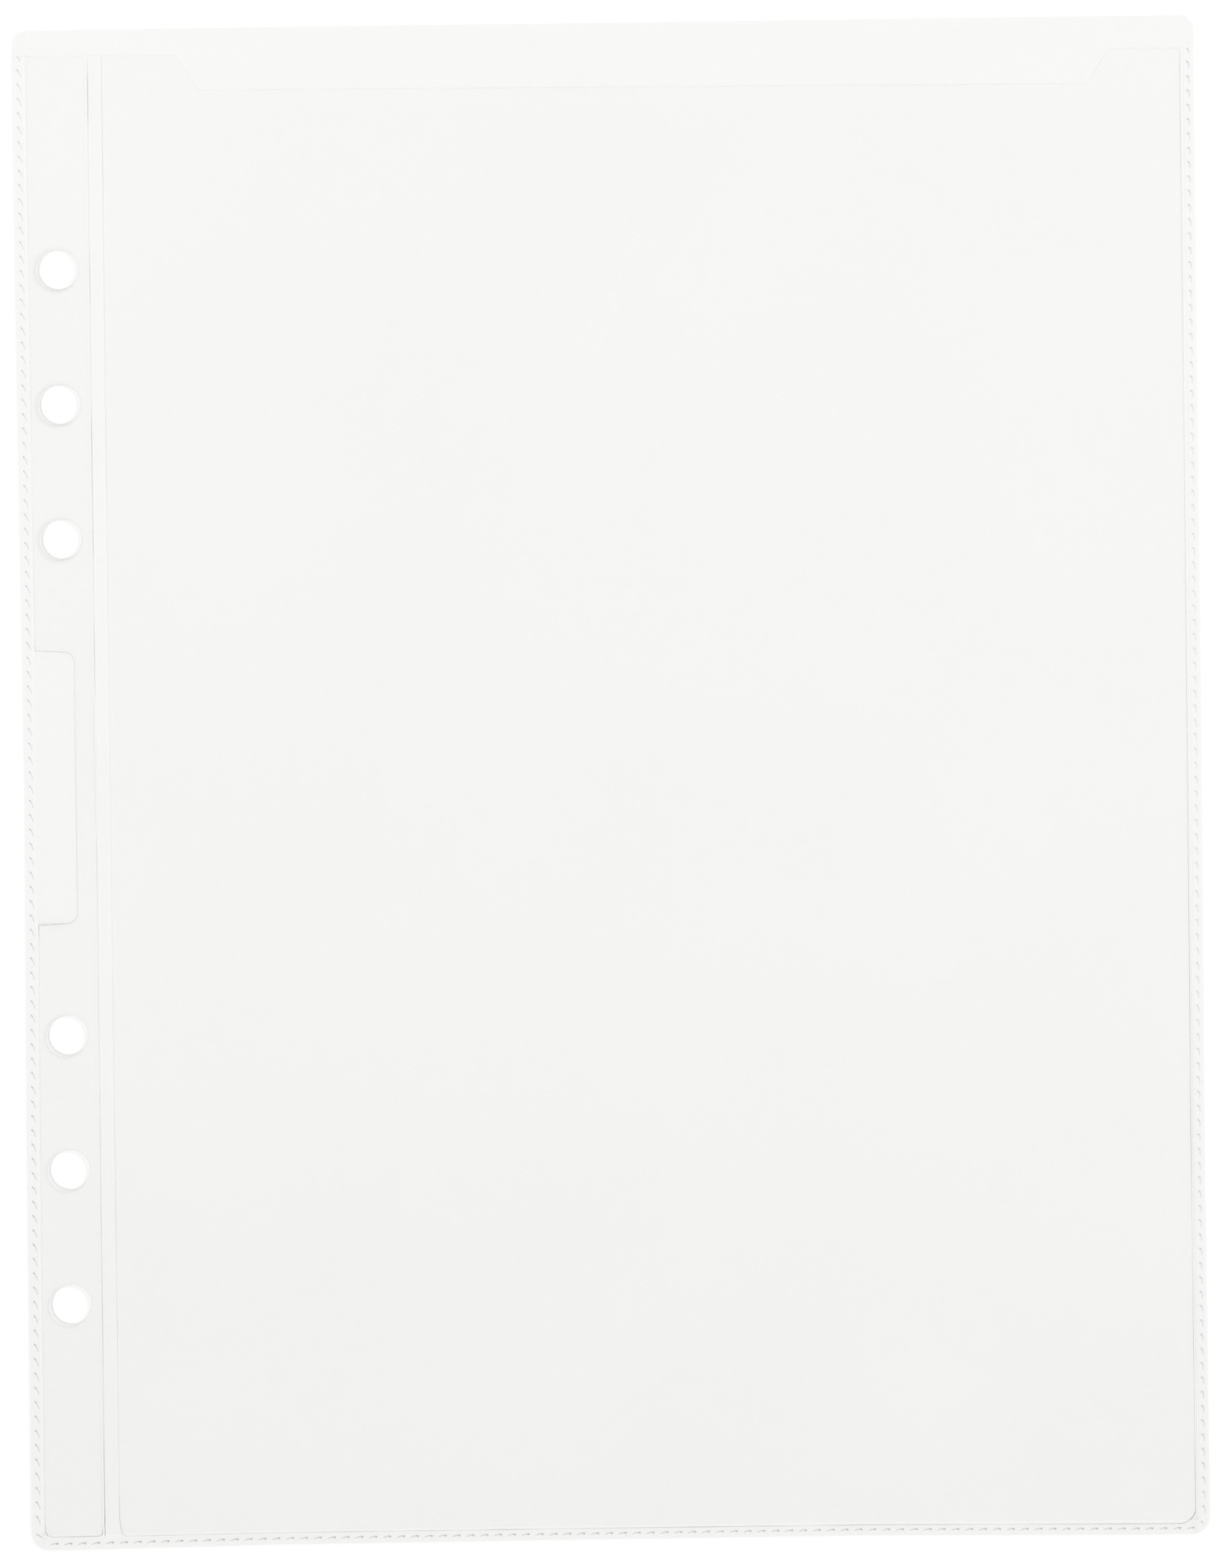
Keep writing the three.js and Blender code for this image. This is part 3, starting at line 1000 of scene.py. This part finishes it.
bay = label_bay()
foot = [(EDGE_WELD, BOTTOM_WELD), (MARGIN_END, BOTTOM_WELD)]
outline = foot + [(MARGIN_END, PAGE_HEIGHT)]
outline += arc(TOP_CORNER, PAGE_HEIGHT - TOP_CORNER, TOP_CORNER, 90, 180)
outline += [(0, front_edge(0)), (EDGE_WELD, front_edge(EDGE_WELD))] + bay[::-1]
rows = margin_rows + [LIP_ROW]
film = make_film("margin_back_film", back_film, outline, margin_columns, rows, holes(1))
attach(film, "margin")
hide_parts("back_film_margin")

outline = foot + [(x, front_edge(x)) for x in (MARGIN_END, EDGE_WELD)] + bay[::-1]
film = make_film("margin_front_film", front_film, outline, margin_columns, margin_rows, holes(-1))
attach(film, "margin")
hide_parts("front_film_margin")

# Pocket's films: the front one, in two halves, lifts off the back one towards the pocket's middle

outline = [(POCKET_START, BOTTOM_WELD), (RIGHT_END, BOTTOM_WELD), (RIGHT_END, front_edge(RIGHT_END))]
outline += [(PAGE_WIDTH, front_edge(PAGE_WIDTH))]
outline += arc(PAGE_WIDTH - TOP_CORNER, PAGE_HEIGHT - TOP_CORNER, TOP_CORNER, 0, 90)
outline += [(POCKET_START, PAGE_HEIGHT)]
rows = pocket_rows + [LIP_ROW]
film = make_film("pocket_back_film", back_film, outline, pocket_columns, rows)
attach(film, "pocket")
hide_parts("back_film_pocket")

for name, side, notch in (("left", POCKET_START, MOUTH[2:0:-1]), ("right", RIGHT_END, MOUTH[3:5])):
    outline = [(x, mouth_edge(x)) for x in (POCKET_MIDDLE, *notch, side)]
    outline += [(side, BOTTOM_WELD), (POCKET_MIDDLE, BOTTOM_WELD)]
    if side == POCKET_START:
        outline.reverse()
    film = make_film(f"pocket_front_film_{name}", front_film, outline, pocket_columns, pocket_rows)
    bend(film)
    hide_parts("front_film_border", "front_film_panel")

# Creases and binding bar

strip = make_strip("margin_crease", MARGIN_END, BAR_START)
bend(strip)
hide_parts("margin_crease_web")
strip = make_strip("binding_bar", BAR_START, BAR_END)
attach(strip, "binding_bar")
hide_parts("binding_weld_bar")
strip = make_strip("pocket_crease", BAR_END, POCKET_START)
bend(strip)
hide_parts("pocket_crease_web")

# Edge welds, one cell for each stitch

places = stitch_places()
between = (places[1:] + places[:-1]) / 2
cells = list(zip([0, *between], places, [*between, PATH_END]))
bar_cut = FIRST_STRAIGHT - BOTTOM_CORNER + BAR_MIDDLE
right_cut = SECOND_CORNER + RIGHT_WELD_START
weld = make_weld("left_stitched_weld", [c for c in cells if c[1] < FIRST_STRAIGHT])
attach(weld, "margin")
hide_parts("left_edge_weld")
weld = make_weld("bottom_stitched_weld_margin", [c for c in cells if FIRST_STRAIGHT <= c[1] < bar_cut])
bend(weld)
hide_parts("bottom_weld_margin")
weld = make_weld("bottom_stitched_weld_pocket", [c for c in cells if bar_cut <= c[1] < right_cut])
bend(weld)
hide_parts("bottom_weld_pocket")
weld = make_weld("right_stitched_weld", [c for c in cells if c[1] >= right_cut])
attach(weld, "pocket")
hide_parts("right_edge_weld")

# Label panel

columns = spread(LABEL_LEFT, LABEL_RIGHT, step=LABEL_COLUMN_STEP)
rows = spread(LABEL_LOW, LABEL_HIGH, step=LABEL_ROW_STEP)
panel = make_film("label_panel", panel_film, bay, columns, rows, slot="fused_film")
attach(panel, "margin")
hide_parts("label_panel_weld")

# Camera

camera_data = bpy.data.cameras.new("camera")
camera_data.lens = CAMERA_LENS
camera_data.sensor_width = CAMERA_SENSOR
camera_data.clip_start = CAMERA_NEAR
camera = bpy.data.objects.new("camera", camera_data)
camera.location = CAMERA_PLACE
camera.rotation_euler = [math.radians(a) for a in CAMERA_TURN]
bpy.context.scene.collection.objects.link(camera)
bpy.context.scene.camera = camera

# Floor and light


def seen(tree):
    """1 for rays that the camera sees directly, in a reflection or through film."""
    rays = node(tree, "ShaderNodeLightPath").outputs
    total = maths(tree, "MAXIMUM", rays["Is Camera Ray"], rays["Is Glossy Ray"])
    return maths(tree, "MAXIMUM", total, rays["Is Transmission Ray"])


floor_mesh = bpy.data.meshes.new("floor")
floor_shape = bmesh.new()
bmesh.ops.create_grid(floor_shape, x_segments=8, y_segments=8, size=FLOOR_SIZE)
floor_shape.to_mesh(floor_mesh)
floor_shape.free()
floor = bpy.data.objects.new("floor", floor_mesh)
floor.location.z = -FLOOR_DROP
bpy.context.scene.collection.objects.link(floor)
floor_paint = bpy.data.materials.new("floor")
floor_paint.use_nodes = True
floor_paint.cycles.emission_sampling = "NONE"
tree = floor_paint.node_tree
shader = tree.nodes["Principled BSDF"]
shader.inputs["Base Color"].default_value = FLOOR_COLOUR
shader.inputs["Roughness"].default_value = FLOOR_ROUGHNESS
shader.inputs["Specular IOR Level"].default_value = 0.0
shader.inputs["Emission Color"].default_value = (1, 1, 1, 1)
feed(tree, shader.inputs["Emission Strength"], maths(tree, "MULTIPLY", seen(tree), FLOOR_GLOW))
floor_mesh.materials.append(floor_paint)

world = bpy.data.worlds.new("studio")
bpy.context.scene.world = world
world.use_nodes = True
tree = world.node_tree
background = tree.nodes["Background"]
background.inputs["Color"].default_value = (1, 1, 1, 1)
feed(tree, background.inputs["Strength"], ranged(tree, seen(tree), 0, 1, WORLD_LIGHT, 1))

lamp_data = bpy.data.lights.new("soft_box", "AREA")
lamp_data.shape = "SQUARE"
lamp_data.size = LAMP_SIZE
lamp_data.energy = LAMP_POWER
lamp = bpy.data.objects.new("soft_box", lamp_data)
lamp.location = LAMP_PLACE
lamp.rotation_mode = "QUATERNION"
lamp.rotation_quaternion = lamp.location.to_track_quat("Z", "Y")
bpy.context.scene.collection.objects.link(lamp)

bpy.context.scene.view_settings.view_transform = "Standard"
bpy.context.scene.cycles.transparent_max_bounces = 32
